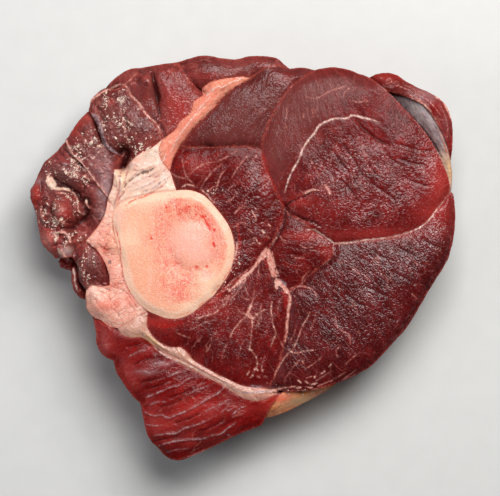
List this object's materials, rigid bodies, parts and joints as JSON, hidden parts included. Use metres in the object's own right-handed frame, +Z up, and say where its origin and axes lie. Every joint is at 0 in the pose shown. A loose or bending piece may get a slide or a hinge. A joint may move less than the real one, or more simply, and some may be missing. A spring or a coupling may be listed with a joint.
{
  "type": "bone-in beef round",
  "caption": "Thick slice of raw beef round, cut face up: sawn thigh bone with marrow, muscles round it, seams of fat and sinew, a torn left edge and a flap.",
  "frame": {"origin": "middle of the bounding box on the plane the slice lies on", "axes": "+Z up out of the cut face, +X to the right and +Y towards the top strip as seen from above"},
  "size_m": [0.2682, 0.2562, 0.059],
  "materials": {
    "lean": "fresh cut lean beef, moist, fine grain",
    "lean_dark": "darker, drier lean with bone dust",
    "fat": "raw salmon-coloured fat, satin",
    "sinew": "cream gristle and sinew, moist",
    "silver_skin": "thin grey membrane with a pearly gloss",
    "bone": "freshly sawn spongy bone",
    "marrow": "pale pink marrow, smooth"
  },
  "bodies": {
    "root": {"femur": "bone", "marrow": "marrow", "joint_capsule": "sinew", "gristle": "sinew", "upper_fat_seam": "fat", "lower_sinew_seam": "sinew", "edge_fat": "fat", "round_lobe": "lean", "flap": "lean", "silver_skin": "silver_skin", "outer_muscle": "lean", "wedge_muscle": "lean", "heart_muscle": "lean", "shank_muscle": "lean", "crown_muscle": "lean", "top_strip": "lean", "top_muscle": "lean", "saddle_muscle": "lean_dark", "flank_muscle": "lean_dark", "torn_fringe": "lean_dark", "under_slab": "lean_dark", "stub_muscle": "lean_dark", "side_ribbon": "sinew", "heel_muscle": "lean"}
  },
  "joints": []
}
